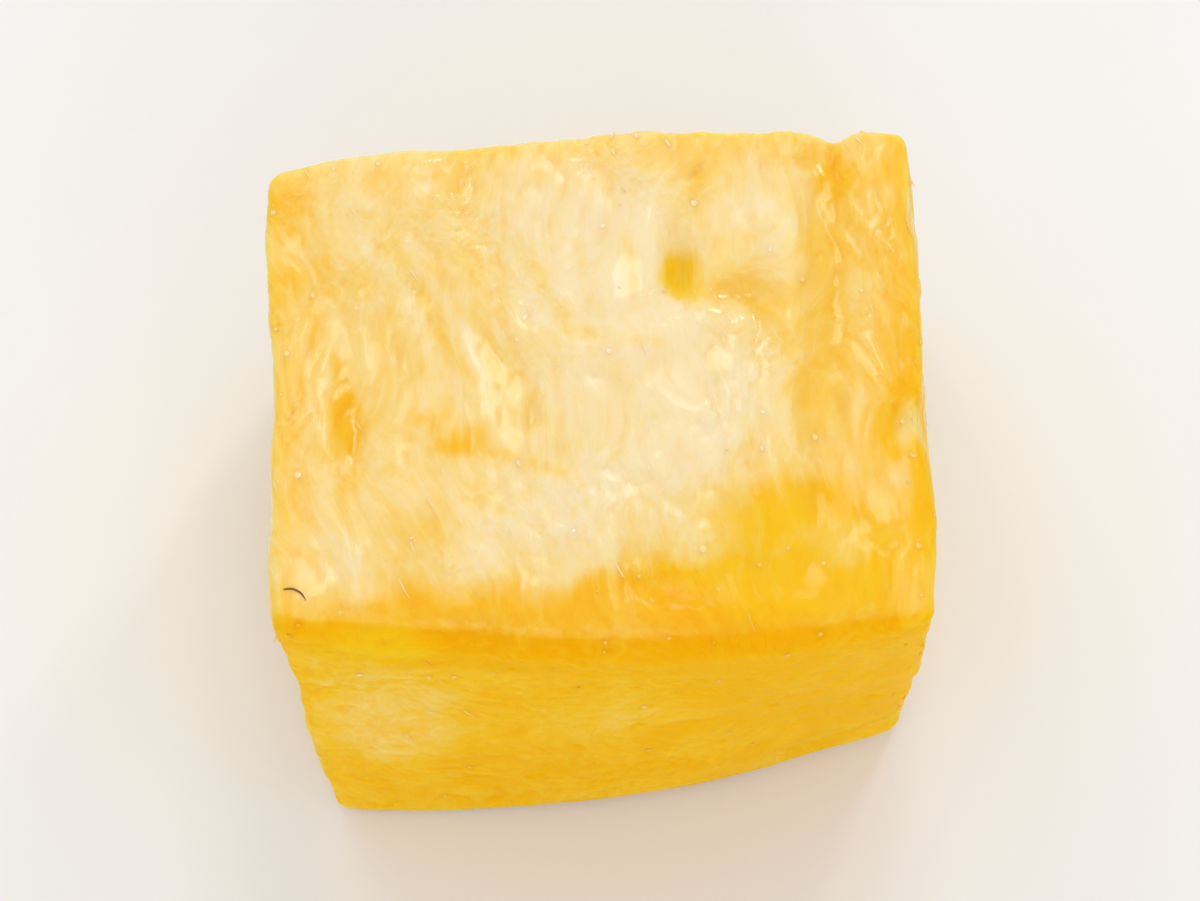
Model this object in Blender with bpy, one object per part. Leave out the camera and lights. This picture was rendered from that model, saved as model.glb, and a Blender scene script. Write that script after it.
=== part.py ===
"""Pineapple cube: one chunk of ripe fruit, cut by knife out of a thick peeled ring.

Units are metres and +Z is up. The origin is the middle of the underside, on the surface
that the cube rests on. The fruit's core lay behind the +Y side, so that side is the inner
one, and the -Y side faced the rind. The fibres run out from the core, towards -Y.

The cube starts as a unit cube with a fine grid on its faces. Each grid point then goes
through the same steps: rounded block, stray corners, bowed cuts, and last the relief of
the flesh.
"""

import math

import bmesh
import bpy
from mathutils import Vector, noise

MM = 0.001


def mm(x, y, z):
    """A vector given in millimetres."""
    return Vector((x, y, z)) * MM


# Directions: up, to the right, and towards the fruit's core.
UP = Vector((0.0, 0.0, 1.0))
RIGHT = Vector((1.0, 0.0, 0.0))
CORE = Vector((0.0, 1.0, 0.0))

# Driving dimensions: the plain block, before the knife strayed.
WIDTH = 24.9 * MM
DEPTH = 19.5 * MM
HEIGHT = 20.0 * MM

# How far each corner strays from the plain block, keyed by the signs of its X, Y and Z.
CORNER_STRAY = {
    (-1, +1, +1): mm(-0.4, -1.1, 0.0),
    (+1, +1, +1): mm(-0.7, 0.8, -0.1),
    (+1, -1, +1): mm(0.3, 0.6, -0.3),
    (-1, -1, +1): mm(0.1, 0.4, 0.3),
    (-1, +1, -1): mm(1.3, -1.3, 0.0),
    (+1, +1, -1): mm(-0.9, -0.3, 0.0),
    (+1, -1, -1): mm(-0.8, 1.9, 0.0),
    (-1, -1, -1): mm(2.1, -1.4, 0.0),
}

# How far the middle of each cut bows outwards.
BOW_RIND_SIDE = 1.2 * MM
BOW_CORE_SIDE = 0.5 * MM
BOW_LEFT = -0.25 * MM
BOW_RIGHT = 0.35 * MM
BOW_TOP = 0.25 * MM

# The cut edges are soft, and the top edge on the rind side is worn the roundest. Where that
# wear starts and ends, and where the corners start, are places on the unit cube.
EDGE_RADIUS = 0.6 * MM
WORN_EDGE_RADIUS = 1.7 * MM
WORN_FROM = 0.3
WORN_TO = 1.0
CORNER_FROM = 0.7
EDGE_WANDER = 0.3
EDGE_WANDER_SIZE = 0.45

# Where the fruit's axis ran: behind the cube, level with its upper half.
CORE_DISTANCE = 27.0 * MM
CORE_HEIGHT = 12.0 * MM
CORE_TURN = math.radians(12)
ARC_RADIUS = 27.0 * MM
FRUIT_AXIS = Vector((math.cos(CORE_TURN), math.sin(CORE_TURN), 0.0))
OUTWARDS = Vector((math.sin(CORE_TURN), -math.cos(CORE_TURN), 0.0))

# Relief of the flesh.
LOBE_SIZE = 8.0 * MM
LOBE_DEPTH = 0.34 * MM
FIBRE_SPACING = 2.1 * MM
FIBRE_LENGTH = 15.0 * MM
FIBRE_DEPTH = 0.20 * MM
FINE_FIBRE_SHARE = 0.5
FIBRE_WANDER = 1.1 * MM
FIBRE_WANDER_SIZE = 6.0 * MM
CROSS_CUT_SHARE = 0.4
UNDERSIDE_FADE = 1.6 * MM

# A fruitlet's wall shows on the top as a curved ridge, and beside it the flesh steps down.
# Both fade out between two heights, below the top's edges.
TOP_FROM = 17.5 * MM
TOP_TO = 18.8 * MM
FRUITLET_CENTRE = mm(-0.2, 6.6, 20.2)
FRUITLET_RADIUS = 5.0 * MM
FRUITLET_RIDGE_WIDTH = 0.75 * MM
FRUITLET_RIDGE_HEIGHT = 0.24 * MM
FRUITLET_FADE_FROM = -1.0 * MM
FRUITLET_FADE_TO = 2.5 * MM
STEP_PLACE = 7.3 * MM
STEP_WIDTH = 0.7 * MM
STEP_DEPTH = 0.38 * MM
STEP_WANDER = 0.6 * MM
STEP_WANDER_SIZE = 3.0 * MM
STEP_FADE_FROM = -7.5 * MM
STEP_FADE_TO = -2.0 * MM

# Hollows in the flesh: centre, reach along X, Y and Z, depth, and the way that each opens.
HOLLOWS = (
    ("seed pocket", mm(3.0, 4.7, 20.2), mm(0.75, 1.25, 1.5), 0.95 * MM, UP),
    ("groove beside the pocket", mm(4.9, 3.9, 20.2), mm(1.9, 0.7, 1.5), 0.40 * MM, UP),
    ("bite in the right edge", mm(12.1, -1.2, 19.8), mm(1.1, 1.1, 1.3), 0.60 * MM, UP + RIGHT),
    ("nick in the core edge", mm(8.9, 9.9, 19.6), mm(0.55, 1.2, 1.6), 0.60 * MM, UP + CORE),
    ("long dent on the left", mm(-9.2, -2.0, 20.4), mm(0.8, 2.3, 1.5), 0.32 * MM, UP),
    ("dent by the worn edge", mm(4.5, -7.2, 20.0), mm(3.4, 1.2, 1.5), 0.26 * MM, UP),
    ("torn foot of the rind side", mm(8.5, -9.0, 1.2), mm(2.4, 1.6, 1.5), 0.55 * MM, -CORE),
    ("pocket on the left side", mm(-12.0, 2.6, 8.6), mm(1.5, 1.5, 0.8), 0.65 * MM, -RIGHT),
    ("pocket on the right side", mm(12.2, -3.4, 11.2), mm(1.5, 1.9, 0.8), 0.60 * MM, RIGHT),
    ("dent in the core side", mm(-3.5, 9.4, 13.2), mm(1.6, 1.5, 1.3), 0.45 * MM, CORE),
)

# The underside's middle is flat. Its edges are drawn up a little between the four points near
# its corners that the cube stands on, a few grid lines in from the edges. Where the flat ends,
# and how high up the sides the drawing up reaches, are places on the unit cube.
STANDING_LINE = 6
FLAT_TO = 0.45
DRAWN_UP = 0.3 * MM
DRAWN_UP_FROM = 0.6
TOUCHING = 0.001 * MM

# Grid lines on each side of the cube, how much they crowd towards its edges, and the
# share of the triangles that stay once the flat stretches are simplified.
GRID_CUTS = 63
GRID_CROWDING = 0.8
TRIANGLES_KEPT = 0.18

# How far apart two noises lie whose seeds differ by one.
SEED_SHIFT = Vector((1.0, 1.7, -0.6))


def smooth_step(low, high, value):
    """0 below low, 1 above high, and a smooth climb between them."""
    share = min(1.0, max(0.0, (value - low) / (high - low)))
    return share * share * (3.0 - 2.0 * share)


def grain(point, size, seed):
    """Smooth noise from -1 to 1 whose lumps are about size across. Each seed is another noise."""
    return noise.noise(point / size + seed * SEED_SHIFT)


def crowd(place):
    """Moves a grid line at place, from -1 to 1, nearer to the edges at -1 and 1."""
    quarter_turn = GRID_CROWDING * math.pi / 2
    return math.sin(place * quarter_turn) / math.sin(quarter_turn)


def edge_radius(unit):
    """The edge's radius near a point of the unit cube."""
    off_corner = 1.0 - smooth_step(CORNER_FROM, 1.0, abs(unit.x))
    to_rind = smooth_step(WORN_FROM, WORN_TO, -unit.y)
    to_top = smooth_step(WORN_FROM, WORN_TO, unit.z)
    radius = EDGE_RADIUS + (WORN_EDGE_RADIUS - EDGE_RADIUS) * to_rind * to_top * off_corner
    return radius * (1.0 + EDGE_WANDER * grain(unit, EDGE_WANDER_SIZE, seed=3))


def rounded_block(unit):
    """The place of a unit cube's point on the plain block with its edges rounded."""
    half = Vector((WIDTH, DEPTH, HEIGHT)) / 2
    radius = edge_radius(unit)
    sharp = Vector(unit[i] * half[i] for i in range(3))
    core = Vector(max(radius - half[i], min(half[i] - radius, sharp[i])) for i in range(3))
    place = core + (sharp - core).normalized() * radius
    return place + Vector((0.0, 0.0, half.z))


def corner_stray(unit):
    """How far the cuts carry a point off the plain block, blended from the eight corners."""
    stray = Vector()
    for signs, offset in CORNER_STRAY.items():
        share = 1.0
        for i in range(3):
            share *= (1.0 + signs[i] * unit[i]) / 2
        stray += offset * share
    return stray


def bow(unit):
    """The gentle outward curve of each knife cut. The underside stays flat."""
    across = 1.0 - unit.x**2
    along = 1.0 - unit.y**2
    upright = 1.0 - unit.z**2
    rind_side = BOW_RIND_SIDE * across * (1.0 - unit.y) / 2
    core_side = BOW_CORE_SIDE * across * (1.0 + unit.y) / 2
    left = BOW_LEFT * along * upright * (1.0 - unit.x) / 2
    right = BOW_RIGHT * along * upright * (1.0 + unit.x) / 2
    top = BOW_TOP * across * along * (1.0 + unit.z) / 2
    return Vector((right - left, core_side - rind_side, top))


def fruit_place(point):
    """Distance from the fruit's axis, arc round it, and place along it, as one vector."""
    from_core = point - Vector((0.0, CORE_DISTANCE, CORE_HEIGHT))
    out = from_core.dot(OUTWARDS)
    up = from_core.z
    return Vector((math.hypot(out, up), math.atan2(up, out) * ARC_RADIUS, from_core.dot(FRUIT_AXIS)))


def fibres(point, normal):
    """Long grooves that run out from the core, shallower where the cut crosses the fibres."""
    place = fruit_place(point)
    place.y += FIBRE_WANDER * grain(point, FIBRE_WANDER_SIZE, seed=11)
    place.z += FIBRE_WANDER * grain(point, FIBRE_WANDER_SIZE, seed=17)
    stretched = Vector((place.x * FIBRE_SPACING / FIBRE_LENGTH, place.y, place.z))
    broad = grain(stretched, FIBRE_SPACING, seed=5)
    fine = grain(stretched, FIBRE_SPACING / 2, seed=7)
    depth = FIBRE_DEPTH * (1.0 - (1.0 - CROSS_CUT_SHARE) * abs(normal.dot(OUTWARDS)))
    return depth * (broad + FINE_FIBRE_SHARE * fine)


def fruitlet_ridge(point):
    """The lower half of a fruitlet's wall, a low curved ridge on the top."""
    on_top = smooth_step(TOP_FROM, TOP_TO, point.z)
    offset = point - FRUITLET_CENTRE
    distance = math.hypot(offset.x, offset.y) - FRUITLET_RADIUS
    ridge = math.exp(-((distance / FRUITLET_RIDGE_WIDTH) ** 2))
    facing = smooth_step(FRUITLET_FADE_FROM, FRUITLET_FADE_TO, -offset.y)
    return FRUITLET_RIDGE_HEIGHT * ridge * facing * on_top


def step_down(point):
    """The strip along the right of the top, which lies a little lower than the rest."""
    on_top = smooth_step(TOP_FROM, TOP_TO, point.z)
    place = STEP_PLACE + STEP_WANDER * grain(point, STEP_WANDER_SIZE, seed=23)
    beside = smooth_step(place, place + STEP_WIDTH, point.x)
    behind_edge = smooth_step(STEP_FADE_FROM, STEP_FADE_TO, point.y)
    return -STEP_DEPTH * beside * behind_edge * on_top


def hollows(point):
    """How far the pockets, dents and nicks carry a point inwards. Each is a smooth bowl."""
    carried = Vector()
    for _, centre, reach, deepest, opens in HOLLOWS:
        offset = point - centre
        spread = sum((offset[i] / reach[i]) ** 2 for i in range(3))
        carried -= opens.normalized() * deepest * math.exp(-spread)
    return carried


def relief(point, normal):
    """How far the flesh stands off its cut at a point, as a vector. The underside has none."""
    height = LOBE_DEPTH * grain(point, LOBE_SIZE, seed=29)
    height += fibres(point, normal)
    height += fruitlet_ridge(point)
    above_foot = smooth_step(0.0, UNDERSIDE_FADE, point.z)
    return (height * normal + step_down(point) * UP + hollows(point)) * above_foot


def standing_place():
    """Where the points that the cube stands on lie on the unit cube, along X and along Y."""
    return crowd(1.0 - 2.0 * STANDING_LINE / (GRID_CUTS + 1))


def drawn_up(unit):
    """How far the underside's edges rise between the points that the cube stands on."""
    standing = standing_place()
    near_edge = [smooth_step(FLAT_TO, standing, abs(unit[i])) for i in range(2)]
    off_point = [abs(1.0 - (unit[i] / standing) ** 2) for i in range(2)]
    beneath = smooth_step(DRAWN_UP_FROM, 1.0, -unit.z)
    return DRAWN_UP * beneath * (near_edge[0] * off_point[1] + near_edge[1] * off_point[0])


def stands(unit):
    """Whether a point of the unit cube is one of the four that the cube stands on."""
    standing = standing_place()
    target = Vector((standing, standing, 1.0))
    return (Vector(abs(value) for value in unit) - target).length < 1e-4 and unit.z < 0


def shaped_grid():
    """The whole cube as one fine closed mesh, and the numbers of the points that it stands on."""
    grid = bmesh.new()
    bmesh.ops.create_cube(grid, size=2.0)
    bmesh.ops.subdivide_edges(grid, edges=grid.edges[:], cuts=GRID_CUTS, use_grid_fill=True)
    units = [Vector(crowd(value) for value in vertex.co) for vertex in grid.verts]
    for vertex, unit in zip(grid.verts, units):
        vertex.co = rounded_block(unit) + corner_stray(unit) + bow(unit)
    grid.normal_update()
    raised = [vertex.co + relief(vertex.co, vertex.normal) for vertex in grid.verts]
    for vertex, unit, place in zip(grid.verts, units, raised):
        vertex.co = (place.x, place.y, max(0.0, place.z) + drawn_up(unit))
    mesh = bpy.data.meshes.new("fine_cube")
    grid.to_mesh(mesh)
    grid.free()
    return mesh, [number for number, unit in enumerate(units) if stands(unit)]


def simplified(mesh, kept):
    """A copy of the mesh with few triangles where it is flat, made by a Decimate modifier. The
    points whose numbers are in kept stay where they are."""
    fine = bpy.data.objects.new("fine_cube", mesh)
    bpy.context.scene.collection.objects.link(fine)
    free_to_go = fine.vertex_groups.new(name="free_to_go")
    numbers = set(range(len(mesh.vertices))) - set(kept)
    free_to_go.add(sorted(numbers), 1.0, "REPLACE")
    decimate = fine.modifiers.new("simplify", "DECIMATE")
    decimate.ratio = TRIANGLES_KEPT
    decimate.use_collapse_triangulate = True
    decimate.vertex_group = free_to_go.name
    graph = bpy.context.evaluated_depsgraph_get()
    simple = bpy.data.meshes.new_from_object(fine.evaluated_get(graph))
    bpy.data.objects.remove(fine)
    bpy.data.meshes.remove(mesh)
    return simple


def settle(mesh):
    """Sets what touches the ground on Z = 0 exactly, and centres the mesh on the origin."""
    for vertex in mesh.vertices:
        if vertex.co.z < TOUCHING:
            vertex.co.z = 0.0
    for i in range(2):
        places = [vertex.co[i] for vertex in mesh.vertices]
        middle = (min(places) + max(places)) / 2
        for vertex in mesh.vertices:
            vertex.co[i] -= middle
    mesh.update()


def flesh_material():
    """Ripe pineapple flesh: a wet, warm yellow."""
    material = bpy.data.materials.new("pineapple_flesh")
    material.use_nodes = True
    shader = material.node_tree.nodes["Principled BSDF"]
    shader.inputs["Base Color"].default_value = (0.96, 0.60, 0.11, 1.0)
    shader.inputs["Roughness"].default_value = 0.35
    shader.inputs["Metallic"].default_value = 0.0
    shader.inputs["Subsurface Weight"].default_value = 0.3
    shader.inputs["Subsurface Radius"].default_value = (1.0, 0.6, 0.2)
    shader.inputs["Subsurface Scale"].default_value = 2.0 * MM
    return material


def main():
    for obj in list(bpy.data.objects):
        bpy.data.objects.remove(obj)
    fine_mesh, standing_points = shaped_grid()
    mesh = simplified(fine_mesh, standing_points)
    settle(mesh)
    mesh.name = "pineapple_cube"
    mesh.shade_smooth()
    mesh.materials.append(flesh_material())
    collection = bpy.data.collections.new("pineapple_cube")
    bpy.context.scene.collection.children.link(collection)
    collection.objects.link(bpy.data.objects.new("pineapple_cube", mesh))


main()
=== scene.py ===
# %% [markdown]
# # A cube of ripe pineapple
#
# The real thing is one chunk of fruit about 25 mm wide, cut by knife out of a thick peeled
# ring. It is a single piece, but its surface has several layers: the uneven knife cuts, the
# fibres that fan out from the core, the juice cells packed between them, a few torn ends, and
# a film of juice over everything. The lesson makes them in that order, from the large form
# down to the finest grain, and lights them at the end.
#
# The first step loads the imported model. It holds the plain solid that the finished cube
# stands for, in metres, resting on Z = 0. Everything below is made to fit it.

# %% Load the frame
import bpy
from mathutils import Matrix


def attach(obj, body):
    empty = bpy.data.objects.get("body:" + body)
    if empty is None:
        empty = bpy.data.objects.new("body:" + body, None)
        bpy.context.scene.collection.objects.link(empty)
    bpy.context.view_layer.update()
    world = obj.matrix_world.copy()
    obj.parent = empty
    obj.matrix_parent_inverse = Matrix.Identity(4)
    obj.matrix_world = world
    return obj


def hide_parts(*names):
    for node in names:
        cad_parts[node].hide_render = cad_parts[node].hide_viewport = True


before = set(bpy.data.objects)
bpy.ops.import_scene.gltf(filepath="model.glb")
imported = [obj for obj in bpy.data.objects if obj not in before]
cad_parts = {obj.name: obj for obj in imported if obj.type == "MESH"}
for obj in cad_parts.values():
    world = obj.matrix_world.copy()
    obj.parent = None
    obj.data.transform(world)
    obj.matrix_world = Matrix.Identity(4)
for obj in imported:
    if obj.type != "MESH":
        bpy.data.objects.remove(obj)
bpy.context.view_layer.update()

NODE = "pineapple_cube"
BODY = "root"

# %% Blender's modules and the units
import math

import bmesh
import bpy
import numpy as np
from mathutils import Vector, bvhtree, noise

MM = 0.001

# %% [markdown]
# ## The form
#
# A knife leaves a block with six nearly flat sides, but no side is true. The form could be
# sculpted by hand, or the plain solid could be smoothed and subdivided. Here it is worked out
# again from the same rules and sizes as the solid, on a finer grid, because that gives the
# same shape with even, clean faces and no trace of the solid's large triangles.
#
# Two small helpers come first: a smooth climb between two values, and smooth noise whose lumps
# have a size in metres.

# %% A smooth climb, and noise with a size
SEED_SHIFT = Vector((1.0, 1.7, -0.6))


def smooth_step(low, high, value):
    """0 below low, 1 above high, and a smooth climb between them."""
    share = min(1.0, max(0.0, (value - low) / (high - low)))
    return share * share * (3.0 - 2.0 * share)


def grain(point, size, seed):
    """Smooth noise from -1 to 1 whose lumps are about size across."""
    return noise.noise(point / size + seed * SEED_SHIFT)


# %% [markdown]
# The block itself is a unit cube whose points are moved: out to the block's size, with the
# edges rounded. The edges that a knife leaves in fruit are soft, and the top edge on the side
# that faced the rind is worn the roundest.

# %% The block with rounded edges
WIDTH = 24.9 * MM
DEPTH = 19.5 * MM
HEIGHT = 20.0 * MM
EDGE_RADIUS = 0.6 * MM
WORN_EDGE_RADIUS = 1.7 * MM
WORN_FROM = 0.3
WORN_TO = 1.0
CORNER_FROM = 0.7
EDGE_WANDER = 0.3
EDGE_WANDER_SIZE = 0.45


def edge_radius(unit):
    """The edge's radius near a point of the unit cube."""
    off_corner = 1.0 - smooth_step(CORNER_FROM, 1.0, abs(unit.x))
    to_rind = smooth_step(WORN_FROM, WORN_TO, -unit.y)
    to_top = smooth_step(WORN_FROM, WORN_TO, unit.z)
    radius = EDGE_RADIUS + (WORN_EDGE_RADIUS - EDGE_RADIUS) * to_rind * to_top * off_corner
    return radius * (1.0 + EDGE_WANDER * grain(unit, EDGE_WANDER_SIZE, seed=3))


def rounded_block(unit):
    """The place of a unit cube's point on the plain block with its edges rounded."""
    half = Vector((WIDTH, DEPTH, HEIGHT)) / 2
    radius = edge_radius(unit)
    sharp = Vector(unit[i] * half[i] for i in range(3))
    core = Vector(max(radius - half[i], min(half[i] - radius, sharp[i])) for i in range(3))
    place = core + (sharp - core).normalized() * radius
    return place + Vector((0.0, 0.0, half.z))


# %% [markdown]
# No two corners are square. Each corner of the block is carried a little way off, and the
# points between follow by their share of each corner. The cuts also bow: the side that faced
# the rind bulges most, since it follows the round of the fruit.

# %% Strayed corners and bowed cuts
CORNER_STRAY = {
    (-1, +1, +1): Vector((-0.4, -1.1, 0.0)) * MM,
    (+1, +1, +1): Vector((-0.7, 0.8, -0.1)) * MM,
    (+1, -1, +1): Vector((0.3, 0.6, -0.3)) * MM,
    (-1, -1, +1): Vector((0.1, 0.4, 0.3)) * MM,
    (-1, +1, -1): Vector((1.3, -1.3, 0.0)) * MM,
    (+1, +1, -1): Vector((-0.9, -0.3, 0.0)) * MM,
    (+1, -1, -1): Vector((-0.8, 1.9, 0.0)) * MM,
    (-1, -1, -1): Vector((2.1, -1.4, 0.0)) * MM,
}
BOW_RIND_SIDE = 1.2 * MM
BOW_CORE_SIDE = 0.5 * MM
BOW_LEFT = -0.25 * MM
BOW_RIGHT = 0.35 * MM
BOW_TOP = 0.25 * MM


def corner_stray(unit):
    """How far the cuts carry a point off the plain block, blended from the eight corners."""
    stray = Vector()
    for signs, offset in CORNER_STRAY.items():
        share = 1.0
        for i in range(3):
            share *= (1.0 + signs[i] * unit[i]) / 2
        stray += offset * share
    return stray


def bow(unit):
    """The gentle outward curve of each knife cut. The underside stays flat."""
    across = 1.0 - unit.x**2
    along = 1.0 - unit.y**2
    upright = 1.0 - unit.z**2
    rind_side = BOW_RIND_SIDE * across * (1.0 - unit.y) / 2
    core_side = BOW_CORE_SIDE * across * (1.0 + unit.y) / 2
    left = BOW_LEFT * along * upright * (1.0 - unit.x) / 2
    right = BOW_RIGHT * along * upright * (1.0 + unit.x) / 2
    top = BOW_TOP * across * along * (1.0 + unit.z) / 2
    return Vector((right - left, core_side - rind_side, top))


# %% [markdown]
# ## The fibres' own coordinates
#
# A pineapple's fibres run out from its core like spokes, so the grooves on a cube fan out too,
# and a cut across them shows dots instead of lines. Both come for free from one trick: each
# point is given a place in the fruit, which is its distance from the fruit's axis, its arc
# round that axis, and its place along it. Noise that is stretched along the first of these
# makes streaks on the sides that lie along the fibres and spots on those that cross them.

# %% A point's place in the fruit
CORE_DISTANCE = 27.0 * MM
CORE_HEIGHT = 12.0 * MM
CORE_TURN = math.radians(12)
ARC_RADIUS = 27.0 * MM
CORE_PLACE = Vector((0.0, CORE_DISTANCE, CORE_HEIGHT))
FRUIT_AXIS = Vector((math.cos(CORE_TURN), math.sin(CORE_TURN), 0.0))
OUTWARDS = Vector((math.sin(CORE_TURN), -math.cos(CORE_TURN), 0.0))


def fruit_place(point):
    """Distance from the fruit's axis, arc round it, and place along it, as one vector."""
    from_core = point - CORE_PLACE
    out = from_core.dot(OUTWARDS)
    up = from_core.z
    return Vector((math.hypot(out, up), math.atan2(up, out) * ARC_RADIUS, from_core.dot(FRUIT_AXIS)))


# %% The broad fibre grooves
FIBRE_SPACING = 2.1 * MM
FIBRE_LENGTH = 15.0 * MM
FIBRE_DEPTH = 0.20 * MM
FINE_FIBRE_SHARE = 0.5
FIBRE_WANDER = 1.1 * MM
FIBRE_WANDER_SIZE = 6.0 * MM
CROSS_CUT_SHARE = 0.4


def fibres(point, normal):
    """Long grooves that run out from the core, shallower where the cut crosses the fibres."""
    place = fruit_place(point)
    place.y += FIBRE_WANDER * grain(point, FIBRE_WANDER_SIZE, seed=11)
    place.z += FIBRE_WANDER * grain(point, FIBRE_WANDER_SIZE, seed=17)
    stretched = Vector((place.x * FIBRE_SPACING / FIBRE_LENGTH, place.y, place.z))
    broad = grain(stretched, FIBRE_SPACING, seed=5)
    fine = grain(stretched, FIBRE_SPACING / 2, seed=7)
    depth = FIBRE_DEPTH * (1.0 - (1.0 - CROSS_CUT_SHARE) * abs(normal.dot(OUTWARDS)))
    return depth * (broad + FINE_FIBRE_SHARE * fine)


# %% [markdown]
# ## Marks that belong to this one cube
#
# The top shows half of a fruitlet's wall as a curved ridge, and a strip along its right that
# lies a little lower. There are also a pocket where a seed sat, a nick, a bite and some dents.
# Each hollow is a smooth bowl given by its centre, its reach along X, Y and Z, its depth and the
# way it opens, which is easier to place than a sculpted dent and can be read off the cube.

# %% The fruitlet's wall and the lower strip
TOP_FROM = 17.5 * MM
TOP_TO = 18.8 * MM
FRUITLET_CENTRE = Vector((-0.2, 6.6, 20.2)) * MM
FRUITLET_RADIUS = 5.0 * MM
FRUITLET_RIDGE_WIDTH = 0.75 * MM
FRUITLET_RIDGE_HEIGHT = 0.24 * MM
FRUITLET_FADE_FROM = -1.0 * MM
FRUITLET_FADE_TO = 2.5 * MM
STEP_PLACE = 7.3 * MM
STEP_WIDTH = 0.7 * MM
STEP_DEPTH = 0.38 * MM
STEP_WANDER = 0.6 * MM
STEP_WANDER_SIZE = 3.0 * MM
STEP_FADE_FROM = -7.5 * MM
STEP_FADE_TO = -2.0 * MM


def fruitlet_ridge(point):
    """The lower half of a fruitlet's wall, a low curved ridge on the top."""
    on_top = smooth_step(TOP_FROM, TOP_TO, point.z)
    offset = point - FRUITLET_CENTRE
    distance = math.hypot(offset.x, offset.y) - FRUITLET_RADIUS
    ridge = math.exp(-((distance / FRUITLET_RIDGE_WIDTH) ** 2))
    facing = smooth_step(FRUITLET_FADE_FROM, FRUITLET_FADE_TO, -offset.y)
    return FRUITLET_RIDGE_HEIGHT * ridge * facing * on_top


def step_down(point):
    """The strip along the right of the top, which lies a little lower than the rest."""
    on_top = smooth_step(TOP_FROM, TOP_TO, point.z)
    place = STEP_PLACE + STEP_WANDER * grain(point, STEP_WANDER_SIZE, seed=23)
    beside = smooth_step(place, place + STEP_WIDTH, point.x)
    behind_edge = smooth_step(STEP_FADE_FROM, STEP_FADE_TO, point.y)
    return -STEP_DEPTH * beside * behind_edge * on_top


# %% Pockets, dents and nicks
def mm(x, y, z):
    """A vector given in millimetres."""
    return Vector((x, y, z)) * MM


UP = Vector((0.0, 0.0, 1.0))
RIGHT = Vector((1.0, 0.0, 0.0))
CORE = Vector((0.0, 1.0, 0.0))
HOLLOWS = (
    ("seed pocket", mm(3.0, 4.7, 20.2), mm(0.75, 1.25, 1.5), 0.95 * MM, UP),
    ("groove beside the pocket", mm(4.9, 3.9, 20.2), mm(1.9, 0.7, 1.5), 0.40 * MM, UP),
    ("bite in the right edge", mm(12.1, -1.2, 19.8), mm(1.1, 1.1, 1.3), 0.60 * MM, UP + RIGHT),
    ("nick in the core edge", mm(8.9, 9.9, 19.6), mm(0.55, 1.2, 1.6), 0.60 * MM, UP + CORE),
    ("long dent on the left", mm(-9.2, -2.0, 20.4), mm(0.8, 2.3, 1.5), 0.32 * MM, UP),
    ("dent by the worn edge", mm(4.5, -7.2, 20.0), mm(3.4, 1.2, 1.5), 0.26 * MM, UP),
    ("torn foot of the rind side", mm(8.5, -9.0, 1.2), mm(2.4, 1.6, 1.5), 0.55 * MM, -CORE),
    ("pocket on the left side", mm(-12.0, 2.6, 8.6), mm(1.5, 1.5, 0.8), 0.65 * MM, -RIGHT),
    ("pocket on the right side", mm(12.2, -3.4, 11.2), mm(1.5, 1.9, 0.8), 0.60 * MM, RIGHT),
    ("dent in the core side", mm(-3.5, 9.4, 13.2), mm(1.6, 1.5, 1.3), 0.45 * MM, CORE),
)


def hollows(point):
    """How far the pockets, dents and nicks carry a point inwards. Each is a smooth bowl."""
    carried = Vector()
    for _, centre, reach, deepest, opens in HOLLOWS:
        offset = point - centre
        spread = sum((offset[i] / reach[i]) ** 2 for i in range(3))
        carried -= opens.normalized() * deepest * math.exp(-spread)
    return carried


# %% All the relief of the solid together
LOBE_SIZE = 8.0 * MM
LOBE_DEPTH = 0.34 * MM
UNDERSIDE_FADE = 1.6 * MM


def relief(point, normal):
    """How far the flesh stands off its cut at a point, as a vector. The underside has none."""
    height = LOBE_DEPTH * grain(point, LOBE_SIZE, seed=29)
    height += fibres(point, normal)
    height += fruitlet_ridge(point)
    above_foot = smooth_step(0.0, UNDERSIDE_FADE, point.z)
    return (height * normal + step_down(point) * UP + hollows(point)) * above_foot


# %% [markdown]
# The cube doesn't rest on its whole underside. It stands on four points near its corners, and
# between them the underside's edges are drawn up by a few tenths of a millimetre, as they are
# on a piece that was cut from below with a slightly bent blade.

# %% The drawn-up underside
STANDING_PLACE = 0.8965
FLAT_TO = 0.45
DRAWN_UP = 0.3 * MM
DRAWN_UP_FROM = 0.6


def drawn_up(unit):
    """How far the underside's edges rise between the points that the cube stands on."""
    near_edge = [smooth_step(FLAT_TO, STANDING_PLACE, abs(unit[i])) for i in range(2)]
    off_point = [abs(1.0 - (unit[i] / STANDING_PLACE) ** 2) for i in range(2)]
    beneath = smooth_step(DRAWN_UP_FROM, 1.0, -unit.z)
    return DRAWN_UP * beneath * (near_edge[0] * off_point[1] + near_edge[1] * off_point[0])


# %% [markdown]
# ## The cage
#
# The grid on the unit cube goes through the steps above. Its lines crowd a little towards the
# edges, where the surface turns fastest. The result is only a cage: a Subdivision Surface
# modifier makes four faces out of each of its faces in a later step, which is much quicker
# than working out four times as many points here.
#
# Three numbers are kept on each point for later: how near it is to a cut edge, where the flesh
# tears; how high it lies on the broad fibres, since juice gathers in the furrows; and whether
# it is on the side that faced the rind, where the flesh is ripest and its extra gold is partly
# painted shade.

# %% Shape the cage
CAGE_CUTS = 63
CAGE_CROWDING = 0.55
EDGE_FROM = 0.88
EDGE_TO = 0.99
RIND_SIDE_FROM = 0.93
RIND_SIDE_TO = 0.995


def crowd(place):
    """Moves a grid line at place, from -1 to 1, nearer to the edges at -1 and 1."""
    quarter_turn = CAGE_CROWDING * math.pi / 2
    return math.sin(place * quarter_turn) / math.sin(quarter_turn)


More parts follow.
